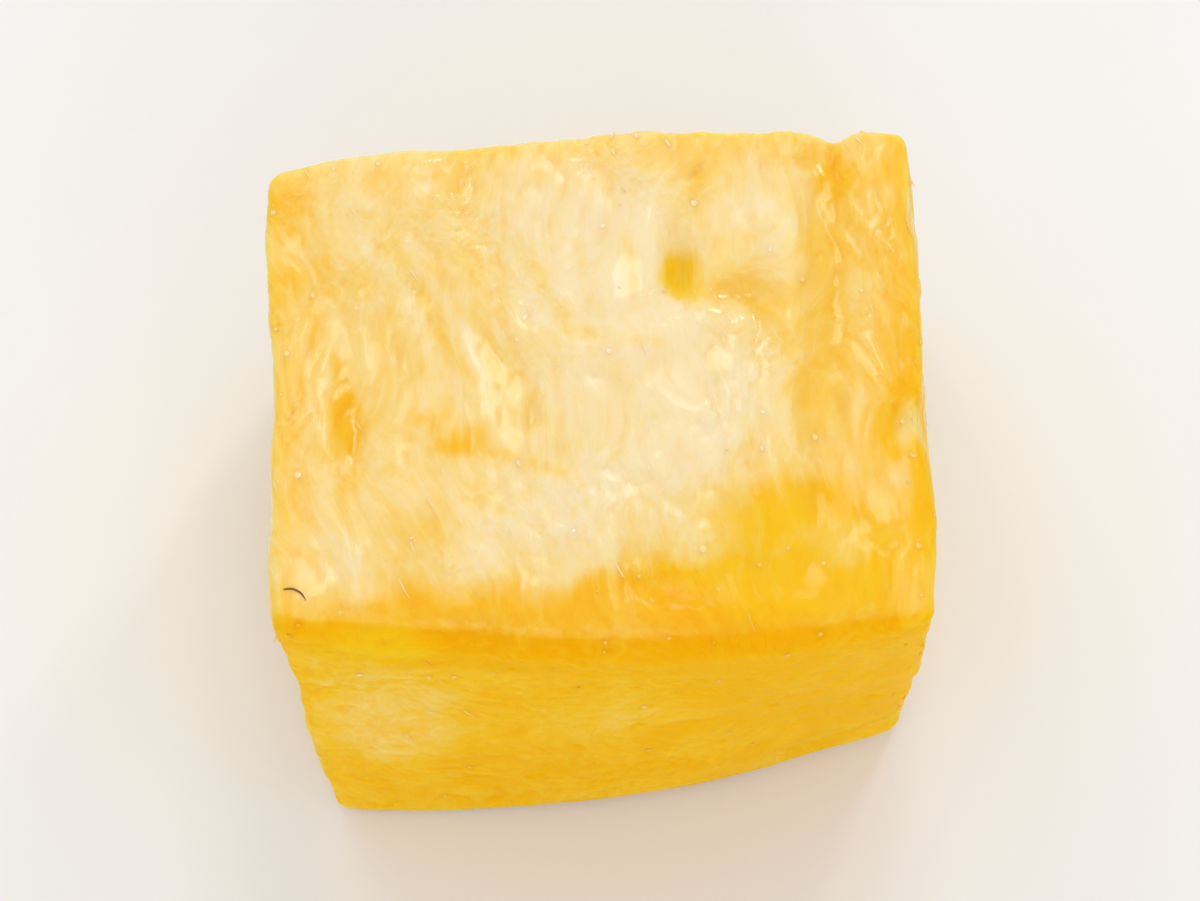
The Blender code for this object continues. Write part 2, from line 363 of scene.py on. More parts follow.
def edge_nearness(unit):
    """1 on the cube's edges and 0 away from them."""
    second_largest = sorted(abs(value) for value in unit)[1]
    return smooth_step(EDGE_FROM, EDGE_TO, second_largest)


def store_on_points(mesh, name, values):
    """Keeps a number from 0 to 1 for each point of a mesh, under a name that nodes can read."""
    attribute = mesh.attributes.new(name, "FLOAT", "POINT")
    attribute.data.foreach_set("value", np.clip(values, 0.0, 1.0).astype(np.float32))


def shaped_cage():
    """The whole cube as one closed mesh of even four-sided faces."""
    grid = bmesh.new()
    bmesh.ops.create_cube(grid, size=2.0)
    bmesh.ops.subdivide_edges(grid, edges=grid.edges[:], cuts=CAGE_CUTS, use_grid_fill=True)
    units = [Vector(crowd(value) for value in vertex.co) for vertex in grid.verts]
    for vertex, unit in zip(grid.verts, units):
        vertex.co = rounded_block(unit) + corner_stray(unit) + bow(unit)
    grid.normal_update()
    broad = [fibres(vertex.co, vertex.normal) for vertex in grid.verts]
    raised = [vertex.co + relief(vertex.co, vertex.normal) for vertex in grid.verts]
    for vertex, unit, place in zip(grid.verts, units, raised):
        vertex.co = (place.x, place.y, max(0.0, place.z) + drawn_up(unit))
    bmesh.ops.recalc_face_normals(grid, faces=grid.faces[:])
    mesh = bpy.data.meshes.new("flesh_cage")
    grid.to_mesh(mesh)
    grid.free()
    store_on_points(mesh, "edge", [edge_nearness(unit) for unit in units])
    rind_side = [smooth_step(RIND_SIDE_FROM, RIND_SIDE_TO, -unit.y) for unit in units]
    store_on_points(mesh, "rind_side", rind_side)
    store_on_points(mesh, "broad_rise", 0.5 + np.array(broad) / FIBRE_DEPTH)
    return mesh


cage = shaped_cage()
print("cage faces:", len(cage.polygons))


# %% [markdown]
# The solid stands on Z = 0 and is centred on the origin, so the cage is moved the same way. The
# move is kept, because the fruit's core moves with it. A search tree over the solid's surface
# then tells how far the cage lies from it, and the answer should be a few hundredths of a
# millimetre.

# %% Settle the cage on the solid, and measure
def coordinates(mesh):
    """All of a mesh's points, as an array with a row for each."""
    flat = np.zeros(3 * len(mesh.vertices), np.float32)
    mesh.vertices.foreach_get("co", flat)
    return flat.reshape(-1, 3)


def settle(mesh):
    """Stands the mesh on Z = 0, centres it on the origin, and returns how far it moved."""
    points = coordinates(mesh)
    middle = (points.min(axis=0) + points.max(axis=0)) / 2
    move = Vector((-float(middle[0]), -float(middle[1]), 0.0))
    points[:, 2] = np.maximum(points[:, 2], 0.0)
    points += np.array(move, np.float32)
    mesh.vertices.foreach_set("co", points.ravel())
    mesh.update()
    return move


def distance_to_solid(mesh, every=7):
    """The mean and the largest distance from some of a mesh's points to the solid's surface."""
    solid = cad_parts[NODE].data
    polygons = [tuple(polygon.vertices) for polygon in solid.polygons]
    surface = bvhtree.BVHTree.FromPolygons([vertex.co for vertex in solid.vertices], polygons)
    far = [surface.find_nearest(Vector(point))[3] for point in coordinates(mesh)[::every]]
    return sum(far) / len(far), max(far)


cage_move = settle(cage)
core_place = CORE_PLACE + cage_move
print("cage moved, in mm:", [round(1000 * value, 2) for value in cage_move])
print("distance to the solid, in mm: mean %.3f, most %.3f" % tuple(
    1000 * value for value in distance_to_solid(cage)))

# %% [markdown]
# ## Building node trees in code
#
# Both the fine relief and the materials are node trees. Three small helpers keep their code
# short: one adds a node and links or sets its inputs, and two add a single sum on numbers or on
# vectors. They work in Geometry Nodes and in shader trees alike.

# %% Helpers for node trees
def feed(tree, socket, value):
    """Links value to the socket if it is a socket itself, and otherwise sets it."""
    if isinstance(value, bpy.types.NodeSocket):
        tree.links.new(value, socket)
    else:
        socket.default_value = value


def add_node(tree, kind, inputs=None, **settings):
    """Adds a node with these settings, and feeds its inputs, by name or by number."""
    node = tree.nodes.new(kind)
    for name, value in settings.items():
        setattr(node, name, value)
    for key, value in (inputs or {}).items():
        feed(tree, node.inputs[key], value)
    return node


def calc(tree, operation, *values):
    """One Math node, and its result."""
    inputs = dict(enumerate(values))
    return add_node(tree, "ShaderNodeMath", inputs, operation=operation).outputs[0]


def calc_vector(tree, operation, *values):
    """One Vector Math node, and its result, which is a number for a dot product or a length."""
    node = add_node(tree, "ShaderNodeVectorMath", dict(enumerate(values)), operation=operation)
    is_number = operation in ("DOT_PRODUCT", "LENGTH")
    return node.outputs["Value" if is_number else "Vector"]


def remap(tree, value, low, high, new_low=0.0, new_high=1.0, smooth=True):
    """A Map Range node: value from low to high becomes new_low to new_high, and stops there."""
    inputs = {0: value, 1: low, 2: high, 3: new_low, 4: new_high}
    kind = "SMOOTHSTEP" if smooth else "LINEAR"
    return add_node(tree, "ShaderNodeMapRange", inputs, interpolation_type=kind).outputs[0]


# %% The fruit's coordinates as nodes
def fruit_place_nodes(tree, position):
    """The nodes for fruit_place: out from the core, arc round it and place along it."""
    from_core = calc_vector(tree, "SUBTRACT", position, tuple(core_place))
    out = calc_vector(tree, "DOT_PRODUCT", from_core, tuple(OUTWARDS))
    along = calc_vector(tree, "DOT_PRODUCT", from_core, tuple(FRUIT_AXIS))
    up = calc_vector(tree, "DOT_PRODUCT", from_core, (0.0, 0.0, 1.0))
    flat = add_node(tree, "ShaderNodeCombineXYZ", {0: out, 1: up}).outputs[0]
    distance = calc_vector(tree, "LENGTH", flat)
    arc = calc(tree, "MULTIPLY", calc(tree, "ARCTAN2", up, out), ARC_RADIUS)
    return add_node(tree, "ShaderNodeCombineXYZ", {0: distance, 1: arc, 2: along}).outputs[0]


def wandered(tree, position):
    """The position pushed about by broad noise, so that no fibre is quite straight."""
    scale = 1.0 / FIBRE_WANDER_SIZE
    inputs = {"Vector": position, "Scale": scale, "Detail": 1.0}
    push = add_node(tree, "ShaderNodeTexNoise", inputs, noise_dimensions="3D").outputs["Color"]
    centred = calc_vector(tree, "SUBTRACT", push, (0.5, 0.5, 0.5))
    spread = calc_vector(tree, "MULTIPLY", centred, (4.0 * FIBRE_WANDER,) * 3)
    return calc_vector(tree, "ADD", position, spread)


def stretched_place(tree, position, spacing, length):
    """The fruit's coordinates, counted in spacings across the fibres and lengths along them."""
    place = fruit_place_nodes(tree, wandered(tree, position))
    per_spacing = calc(tree, "DIVIDE", 1.0, spacing)
    per_length = calc(tree, "DIVIDE", 1.0, length)
    inputs = {0: per_length, 1: per_spacing, 2: per_spacing}
    counts = add_node(tree, "ShaderNodeCombineXYZ", inputs).outputs[0]
    return calc_vector(tree, "MULTIPLY", place, counts)


def noise_value(tree, vector, scale=1.0, detail=2.0, roughness=0.5, seed=0.0):
    """Noise from 0 to 1 at a vector. Each seed gives another noise."""
    inputs = {"Vector": vector, "W": seed, "Scale": scale, "Detail": detail, "Roughness": roughness}
    return add_node(tree, "ShaderNodeTexNoise", inputs, noise_dimensions="4D").outputs[0]


# %% [markdown]
# ## Fine relief
#
# Between the broad grooves lie finer fibres, half a millimetre apart, with narrow furrows
# between them and rows of juice cells that bulge a little. Here and there a cell has burst and
# left a pit. This follows a rule over the whole surface, so Geometry Nodes is the tool for it:
# one tree works out a height for each point and moves it along its normal. Bump in the material
# could fake the same, but then the outline would stay smooth, and a cut edge of fruit never is.
#
# Patches of the surface are torn and rough while others were cut clean, so a broad noise fades
# the relief in and out. The underside was pressed flat, so its relief only goes inwards. The
# height is also stored on the points, because furrows look different from ridges.

# %% The tree for the fine relief
RELIEF_INPUTS = (
    ("Fibre Spacing", 0.62 * MM),
    ("Fibre Length", 3.6 * MM),
    ("Fibre Depth", 0.16 * MM),
    ("Furrow Depth", 0.05 * MM),
    ("Cell Size", 0.90 * MM),
    ("Cell Length", 1.6 * MM),
    ("Cell Depth", 0.11 * MM),
    ("Pit Size", 0.9 * MM),
    ("Pit Depth", 0.14 * MM),
    ("Patch Size", 4.5 * MM),
    ("Clean Share", 0.40),
    ("Underside Depth", 0.07 * MM),
)


def new_tree(name, inputs):
    """An empty Geometry Nodes tree with a geometry in and out, and named numbers as inputs."""
    tree = bpy.data.node_groups.new(name, "GeometryNodeTree")
    tree.interface.new_socket("Geometry", in_out="INPUT", socket_type="NodeSocketGeometry")
    tree.interface.new_socket("Geometry", in_out="OUTPUT", socket_type="NodeSocketGeometry")
    for label, default in inputs:
        kind = "NodeSocketInt" if isinstance(default, int) else "NodeSocketFloat"
        tree.interface.new_socket(label, in_out="INPUT", socket_type=kind).default_value = default
    given = tree.nodes.new("NodeGroupInput").outputs
    return tree, {socket.name: socket for socket in given if socket.name}


def end_tree(tree, geometry, material):
    """Ends a tree: instances become real faces, with the material set."""
    real = add_node(tree, "GeometryNodeRealizeInstances", {0: geometry}).outputs[0]
    painted = add_node(tree, "GeometryNodeSetMaterial", {"Geometry": real, "Material": material})
    tree.links.new(painted.outputs[0], tree.nodes.new("NodeGroupOutput").inputs[0])


def keep_value(tree, geometry, name, value):
    """Stores a number on each point under a name, and passes the geometry on."""
    inputs = {"Geometry": geometry, "Name": name, "Value": value}
    return add_node(tree, "GeometryNodeStoreNamedAttribute", inputs, data_type="FLOAT").outputs[0]


def thread_heights(tree, position, given):
    """The heights of the fine fibres and of the furrows between them, and the furrows' mask."""
    place = stretched_place(tree, position, given["Fibre Spacing"], given["Fibre Length"])
    wave = calc(tree, "SUBTRACT", noise_value(tree, place, detail=1.5, seed=1.0), 0.5)
    furrow = remap(tree, calc(tree, "ABSOLUTE", wave), 0.0, 0.09, 1.0, 0.0)
    threads = calc(tree, "MULTIPLY", wave, given["Fibre Depth"])
    furrows = calc(tree, "MULTIPLY", furrow, given["Furrow Depth"])
    return calc(tree, "SUBTRACT", threads, furrows), furrow


def cell_height(tree, position, given):
    """The height of the juice cells, a low dome each."""
    place = stretched_place(tree, position, given["Cell Size"], given["Cell Length"])
    nearest = add_node(tree, "ShaderNodeTexVoronoi", {"Vector": place, "Scale": 1.0})
    dome = calc(tree, "SUBTRACT", 0.5, calc(tree, "POWER", nearest.outputs["Distance"], 2.0))
    return calc(tree, "MULTIPLY", dome, given["Cell Depth"])


def pit_mask(tree, position, given):
    """1 where a cell has burst and left a pit."""
    twice = calc(tree, "MULTIPLY", given["Pit Size"], 2.0)
    place = stretched_place(tree, position, given["Pit Size"], twice)
    return remap(tree, noise_value(tree, place, detail=0.5, seed=4.0), 0.66, 0.80)


def fine_relief_tree(material):
    """Moves each point of the flesh along its normal by the height of fibres and juice cells."""
    tree, given = new_tree("fine_relief", RELIEF_INPUTS)
    position = add_node(tree, "GeometryNodeInputPosition").outputs[0]
    normal = add_node(tree, "GeometryNodeInputNormal").outputs[0]
    threads, furrow = thread_heights(tree, position, given)
    cell = cell_height(tree, position, given)
    pit = pit_mask(tree, position, given)

    patch = calc_vector(tree, "DIVIDE", position, given["Patch Size"])
    rough = noise_value(tree, patch, detail=1.0, seed=2.0)
    torn = remap(tree, rough, 0.35, 0.65, given["Clean Share"], 1.0)
    height = calc(tree, "MULTIPLY", calc(tree, "ADD", threads, cell), torn)
    height = calc(tree, "SUBTRACT", height, calc(tree, "MULTIPLY", pit, given["Pit Depth"]))

    up = add_node(tree, "ShaderNodeSeparateXYZ", {0: position}).outputs[2]
    above_foot = remap(tree, up, 0.0, UNDERSIDE_FADE)
    offset = calc_vector(tree, "SCALE", normal)
    feed(tree, offset.node.inputs["Scale"], calc(tree, "MULTIPLY", height, above_foot))

    facing_down = calc_vector(tree, "DOT_PRODUCT", normal, (0.0, 0.0, -1.0))
    underneath = remap(tree, facing_down, 0.8, 1.0)
    dimples = remap(tree, noise_value(tree, patch, scale=4.0, seed=3.0), 0.4, 0.7)
    pressed = calc(tree, "MULTIPLY", dimples, underneath)
    lift = calc(tree, "MULTIPLY", pressed, given["Underside Depth"])
    upwards = add_node(tree, "ShaderNodeCombineXYZ", {2: lift}).outputs[0]

    low = calc(tree, "MULTIPLY", given["Fibre Depth"], -0.6)
    high = calc(tree, "MULTIPLY", given["Fibre Depth"], 0.6)
    rise = remap(tree, height, low, high, smooth=False)
    kept = keep_value(tree, given["Geometry"], "fine_rise", rise)
    kept = keep_value(tree, kept, "furrow", calc(tree, "MAXIMUM", furrow, pit))
    moved = add_node(tree, "GeometryNodeSetPosition", {"Geometry": kept})
    feed(tree, moved.inputs["Offset"], calc_vector(tree, "ADD", offset, upwards))
    end_tree(tree, moved.outputs[0], material)
    return tree


# %% [markdown]
# ## Ripeness
#
# Ripe flesh isn't one yellow. Where its cells still hold air it is pale cream and matt, and
# where juice has soaked it it is clear and golden. The large changes belong to this one cube,
# so they are named spots again, each with a centre, a reach, a crispness and a strength: above
# zero is golden, below is pale. A few of them paint light: the extra gold on the side that
# faced the rind and along the right is partly painted shade, the lines along the fruitlet's
# wall and the deep gold at the right end of the rind side are painted shade, and one pale spot
# is a painted glint. Their sum is stored on the mesh as an attribute that the
# material reads. Painting a texture would do the same, but a few named spots can be read and
# changed. The points are first pushed about by noise, so that no spot has an even outline.

# %% Golden and pale spots
BASE_RIPENESS = 0.30
RIPEST_ON_CUTS = 0.78
# On the side that faced the rind the extra gold is partly the flesh's own and partly painted shade.
RIND_SIDE_GOLD_AND_SHADE = 0.26
RIPENESS_AND_PAINTED_LIGHT_SPOTS = (
    ("worn top edge", (0.0, -10.3, 19.5), (14.0, 2.75, 2.6), 3, 0.46),
    # The gold towards the rind is partly the flesh's own colour and partly painted shade.
    ("gold and painted shade towards the rind", (0.0, -12.5, 8.0), (60.0, 8.0, 11.5), 2, 0.36),
    ("core side", (0.0, 14.0, 8.0), (60.0, 5.0, 60.0), 2, 0.20),
    ("left side", (-15.5, 0.0, 8.0), (4.2, 60.0, 60.0), 2, 0.22),
    # The right side is more golden than the left partly as painted shade.
    ("right side", (16.5, 0.0, 8.0), (5.0, 60.0, 60.0), 2, 0.38),
    ("left of the top", (-8.0, 6.0, 21.0), (6.5, 3.6, 4.0), 2, 0.05),
    ("pale middle of the top", (3.0, 0.2, 21.0), (5.0, 3.4, 4.0), 3, -0.17),
    ("pale below it", (0.8, -3.8, 21.0), (4.2, 2.3, 4.0), 2, -0.15),
    ("pale upper middle", (-0.6, 6.4, 21.0), (3.4, 4.0, 4.0), 2, -0.26),
    ("pale beside the step", (5.5, 7.2, 21.0), (1.7, 2.3, 4.0), 4, -0.17),
    ("pale lower left", (-2.6, -6.2, 21.0), (3.0, 2.3, 4.0), 2, -0.14),
    ("pale front left corner", (-9.6, -6.9, 21.0), (1.8, 1.0, 3.0), 1, -0.10),
    ("strip on the right", (9.9, 3.4, 21.0), (2.9, 7.2, 4.0), 5, 0.24),
    ("pale patch in the strip", (9.8, 5.2, 21.0), (0.9, 2.2, 3.0), 2, -0.10),
    # The gold along the right edge is partly the flesh's own and partly painted shade.
    ("golden right edge with painted shade", (13.0, 1.0, 19.5), (1.2, 10.0, 6.0), 2, 0.52),
    ("golden front right", (8.6, -6.2, 21.0), (4.2, 3.1, 4.0), 3, 0.44),
    ("golden front middle", (3.6, -8.0, 21.0), (4.4, 1.7, 4.0), 3, 0.42),
    ("golden tongue", (6.4, -3.6, 21.0), (1.5, 1.3, 4.0), 1, 0.18),
    ("pale spots in the golden", (9.2, -6.0, 21.0), (1.5, 1.0, 3.0), 2, -0.24),
    ("blotch on the left", (-9.4, -1.5, 20.5), (0.75, 1.2, 3.0), 1, 0.60),
    ("blotch beside it", (-5.2, -2.0, 20.5), (1.2, 0.6, 3.0), 1, 0.46),
    ("spur of it", (-6.3, -1.1, 20.5), (0.6, 0.4, 3.0), 1, 0.26),
    ("blotch in the lower left", (-6.2, -5.6, 20.5), (0.9, 0.8, 3.0), 1, 0.16),
    ("seed pocket", (3.05, 4.8, 19.9), (0.72, 1.05, 2.0), 3, 0.50),
    ("groove beside the pocket", (5.4, 4.4, 20.0), (2.0, 0.85, 2.0), 2, 0.22),
    # A painted glint: a whiter spot beside the groove.
    ("painted glint beside the groove", (3.1, 2.6, 20.5), (0.6, 0.5, 2.0), 1, -0.36),
    ("pale inside the bite", (11.8, -0.7, 20.0), (0.6, 0.8, 2.0), 2, -0.40),
    ("nick in the core edge", (8.8, 9.0, 19.6), (0.5, 1.3, 2.0), 2, 0.35),
    ("pale patch left on the rind side", (-7.4, -10.5, 11.0), (3.2, 3.0, 5.5), 2, -0.34),
    ("pale patch low on the rind side", (5.5, -10.5, 6.0), (3.2, 3.0, 2.2), 2, -0.18),
    ("pale patch middle of the rind side", (0.4, -10.8, 11.0), (3.8, 3.0, 3.0), 2, -0.20),
    ("pale left edge of the rind side", (-11.2, -9.8, 9.0), (0.9, 2.0, 12.0), 1, -0.18),
    # Painted shade: a deeper gold at the right end of the rind side.
    ("painted shade at the right end of the rind side", (8.0, -12.0, 11.0), (5.5, 6.0, 9.0), 2, 0.20),
    ("pale patch on the left side", (-12.0, 4.0, 13.0), (3.0, 3.4, 3.6), 2, -0.20),
    ("blotch on the left side", (-12.0, -4.0, 8.0), (3.0, 3.6, 4.0), 2, 0.20),
    ("pocket on the left side", (-11.8, 2.9, 8.6), (1.5, 1.3, 0.7), 2, 0.40),
    ("pale patch on the right side", (12.0, 4.0, 6.5), (3.0, 3.4, 3.4), 2, -0.24),
    ("pocket on the right side", (12.0, -3.1, 11.2), (1.5, 1.6, 0.7), 2, 0.40),
    ("pale patch on the core side", (-4.5, 10.0, 6.0), (4.5, 3.0, 3.6), 2, -0.20),
    ("blotch on the core side", (4.5, 10.0, 12.0), (3.6, 3.0, 3.0), 2, 0.22),
    ("dent in the core side", (-3.5, 9.8, 13.2), (1.5, 1.5, 1.2), 2, 0.30),
)
STREAKS_AND_PAINTED_SHADE_ON_TOP = (
    ("pale diagonal streak", (-8.9, 6.4), (-5.6, 0.2), 0.36, -0.15),
    ("golden line beside it", (-8.1, 6.4), (-4.9, 0.4), 0.28, 0.11),
    ("second pale streak", (-7.2, 6.0), (-4.4, 0.8), 0.30, -0.12),
    ("second golden line", (-6.3, 5.4), (-3.9, 0.9), 0.24, 0.08),
    # These four golden lines are painted shade along the fruitlet's wall.
    ("painted shade on the fruitlet's side", (-2.9, 6.4), (-1.3, 2.9), 0.26, 0.16),
    ("painted shade at the fruitlet's foot", (-1.3, 2.6), (2.3, 2.0), 0.28, 0.17),
    ("painted shade line in the fruitlet", (-1.0, 6.8), (-0.3, 3.8), 0.22, 0.13),
    ("next painted shade line in it", (1.0, 6.4), (1.3, 3.4), 0.22, 0.13),
    ("top of the left blotch", (-10.1, 1.5), (-9.5, -0.4), 0.30, 0.28),
    ("tail of the left blotch", (-9.3, -2.9), (-9.8, -5.2), 0.36, 0.20),
    ("line between blotches", (-4.2, -2.3), (-1.4, -3.1), 0.24, 0.20),
    ("bite's back half", (11.2, 0.5), (10.6, -0.6), 0.32, 0.60),
    ("bite's front half", (10.6, -0.9), (10.9, -2.0), 0.32, 0.60),
)
SPOT_WARP = 0.60
SPOT_WARP_SIZE = 2.0
FINE_WARP = 0.16
FINE_WARP_SIZE = 0.7
LEMON_SPOTS = (
    ("seed pocket", (3.05, 4.85, 19.9), (1.0, 1.2, 3.0), 3, 0.9),
    ("golden front right", (7.6, -6.4, 21.0), (5.4, 2.8, 4.0), 3, 0.50),
    ("front left end of the worn edge", (-8.5, -9.6, 19.5), (2.4, 1.2, 2.0), 2, 0.6),
)
BASE_WETNESS = 0.85
RIND_SIDE_DRIER = 0.85
WETNESS_SPOTS = (
    ("dry left end of the top", (-10.5, 6.0, 20.5), (2.6, 4.0, 3.0), 2, -0.30),
    ("dull front right", (6.6, -6.6, 20.5), (6.0, 2.4, 3.0), 2, -0.35),
    ("dull middle of the front edge", (2.6, -7.3, 20.5), (2.6, 1.5, 3.0), 2, -0.40),
    ("dull seed pocket", (3.05, 4.85, 19.6), (1.0, 1.3, 1.6), 2, -0.60),
)


def streak_spots(streaks):
    """Each streak as a row of round spots, one reach apart, that run together."""
    spots = []
    for name, start, end, reach, strength in streaks:
        start, end = Vector(start), Vector(end)
        steps = max(1, round((end - start).length / reach))
        for step in range(steps + 1):
            place = start.lerp(end, step / steps)
            spots.append((name, (*place, 20.5), (reach, reach, 2.0), 1, strength / math.sqrt(math.pi)))
    return tuple(spots)


def warped(places):
    """The places, in millimetres, pushed about by broad and fine noise, so that no spot is round."""
    pushes = [
        SPOT_WARP * noise.noise_vector(Vector(place) / SPOT_WARP_SIZE)
        + FINE_WARP * noise.noise_vector(Vector(place) / FINE_WARP_SIZE)
        for place in places
    ]
    return np.array(places) + np.array(pushes)


def soft_spots(places, spots):
    """The sum of all spots at these warped places. A spot's middle is warped too, so it stays put."""
    total = np.zeros(len(places))
    for _, centre, reach, crispness, strength in spots:
        offset = (places - warped([centre])) / np.array(reach)
        total += strength * np.exp(-((offset**2).sum(axis=1) ** crispness))
    return total


# %% [markdown]
# ## The pattern in the flesh
#
# Two effects are used by more than one material, so each is a node group: the streaks along the
# fibres, and the juice cells between them. Both read Object coordinates and turn them into the
# fruit's own, so the pattern runs through the flesh like the real one and meets at every edge
# without a seam.

# %% Node groups for streaks and cells
def new_shader_group(name, inputs, outputs):
    """An empty shader node group with a Position input, named numbers, and named results."""
    tree = bpy.data.node_groups.new(name, "ShaderNodeTree")
    tree.interface.new_socket("Position", in_out="INPUT", socket_type="NodeSocketVector")
    for label, default in inputs:
        socket = tree.interface.new_socket(label, in_out="INPUT", socket_type="NodeSocketFloat")
        socket.default_value = default
    for label in outputs:
        tree.interface.new_socket(label, in_out="OUTPUT", socket_type="NodeSocketFloat")
    given = {socket.name: socket for socket in tree.nodes.new("NodeGroupInput").outputs if socket.name}
    return tree, given, tree.nodes.new("NodeGroupOutput").inputs


def streak_group():
    """Streaks along the fibres: Streak is the soft stripe and Line a thin line here and there."""
    inputs = (("Spacing", 1.0 * MM), ("Length", 8.0 * MM), ("Seed", 0.0))
    tree, given, results = new_shader_group("fibre_streaks", inputs, ("Streak", "Line"))
    place = stretched_place(tree, given["Position"], given["Spacing"], given["Length"])
    wave = noise_value(tree, place, detail=3.0, roughness=0.6, seed=given["Seed"])
    feed(tree, results["Streak"], remap(tree, wave, 0.3, 0.7))
    other = noise_value(tree, place, detail=1.0, seed=calc(tree, "ADD", given["Seed"], 7.0))
    off_line = calc(tree, "ABSOLUTE", calc(tree, "SUBTRACT", other, 0.5))
    feed(tree, results["Line"], remap(tree, off_line, 0.0, 0.035, 1.0, 0.0))
    return tree


def cell_group():
    """Juice cells: Bulge is a dome on each cell, Tint a number of its own, Edge its wall."""
    inputs = (("Size", 0.5 * MM), ("Length", 1.6 * MM))
    tree, given, results = new_shader_group("juice_cells", inputs, ("Bulge", "Tint", "Edge"))
    place = stretched_place(tree, given["Position"], given["Size"], given["Length"])
    inside = add_node(tree, "ShaderNodeTexVoronoi", {"Vector": place, "Scale": 1.0})
    feed(tree, results["Bulge"], remap(tree, inside.outputs["Distance"], 0.0, 0.8, 1.0, 0.0))
    feed(tree, results["Tint"], calc_vector(tree, "DOT_PRODUCT", inside.outputs["Color"], (0.5, 0.5, 0.0)))
    wall = add_node(tree, "ShaderNodeTexVoronoi", {"Vector": place, "Scale": 1.0}, feature="DISTANCE_TO_EDGE")
    feed(tree, results["Edge"], remap(tree, wall.outputs["Distance"], 0.0, 0.12, 1.0, 0.0))
    return tree


streaks = streak_group()
cells = cell_group()
print("node groups:", streaks.name, cells.name)

# %% [markdown]
# ## The flesh
#
# Pineapple flesh is wet and lets light in a little way, red and yellow light further than
# blue, so shaded and thin parts glow golden. Subsurface scattering gives that. The colour comes
# from one number, the ripeness with some painted shade and a painted glint in it: the stored
# spots, plus streaks, furrows and cells. A Color Ramp turns it into cream, yellow or gold. The
# film of juice is a coat, thick where the flesh is soaked and in the furrows, thin where it is pale.

# %% The flesh material
RIPENESS_STOPS = (
    (0.08, (0.972, 0.762, 0.470, 1.0)),
    (0.32, (0.966, 0.690, 0.270, 1.0)),
    (0.55, (0.960, 0.590, 0.100, 1.0)),
    (0.76, (0.950, 0.520, 0.018, 1.0)),
    (1.00, (0.930, 0.445, 0.003, 1.0)),
)
LEMON_STOPS = (
    (0.08, (0.970, 0.800, 0.430, 1.0)),
    (0.40, (0.965, 0.700, 0.200, 1.0)),
    (0.80, (0.975, 0.605, 0.012, 1.0)),
)
SCATTER_DEPTH = 1.3 * MM
SCATTER_COLOUR = (1.0, 0.75, 0.35)
BUMP_DEPTH = 0.035 * MM
CURD_SIZE = 0.8 * MM


def new_material(name):
    """An empty material with a Principled BSDF, and its tree and shader."""
    material = bpy.data.materials.new(name)
    material.use_nodes = True
    tree = material.node_tree
    return material, tree, tree.nodes["Principled BSDF"]


def use_group(tree, group, inputs):
    """A node group placed in a tree, and its outputs by name."""
    node = add_node(tree, "ShaderNodeGroup", node_tree=group)
    for key, value in inputs.items():
        feed(tree, node.inputs[key], value)
    return node.outputs


def swing(tree, value, amount):
    """A value from 0 to 1 as a swing either way round zero, of half the amount each way."""
    return calc(tree, "MULTIPLY", calc(tree, "SUBTRACT", value, 0.5), amount)


def stored(tree, name):
    """A number that was stored on the mesh's points."""
    return add_node(tree, "ShaderNodeAttribute", attribute_name=name).outputs["Fac"]


def colour_ramp(tree, value, stops):
    """A Color Ramp with these stops, each a place and a colour."""
    ramp = add_node(tree, "ShaderNodeValToRGB", {0: value})
    elements = ramp.color_ramp.elements
    for index, (place, colour) in enumerate(stops):
        stop = elements[index] if index < 2 else elements.new(place)
        stop.position = place
        stop.color = colour
    return ramp.outputs[0]


def mixed(tree, share, first, second):
    """A blend of two colours, with this share of the second."""
    node = add_node(tree, "ShaderNodeMix", {0: share}, data_type="RGBA")
    feed(tree, node.inputs["A"], first)
    feed(tree, node.inputs["B"], second)
    return node.outputs["Result"]


def flesh_colour(tree, ripeness_and_painted_light):
    """The yellow of flesh this ripe, with its painted shade and glint: golden, or lemon where that is stored."""
    golden = colour_ramp(tree, ripeness_and_painted_light, RIPENESS_STOPS)
    lemon = colour_ramp(tree, ripeness_and_painted_light, LEMON_STOPS)
    return mixed(tree, stored(tree, "lemon"), golden, lemon)


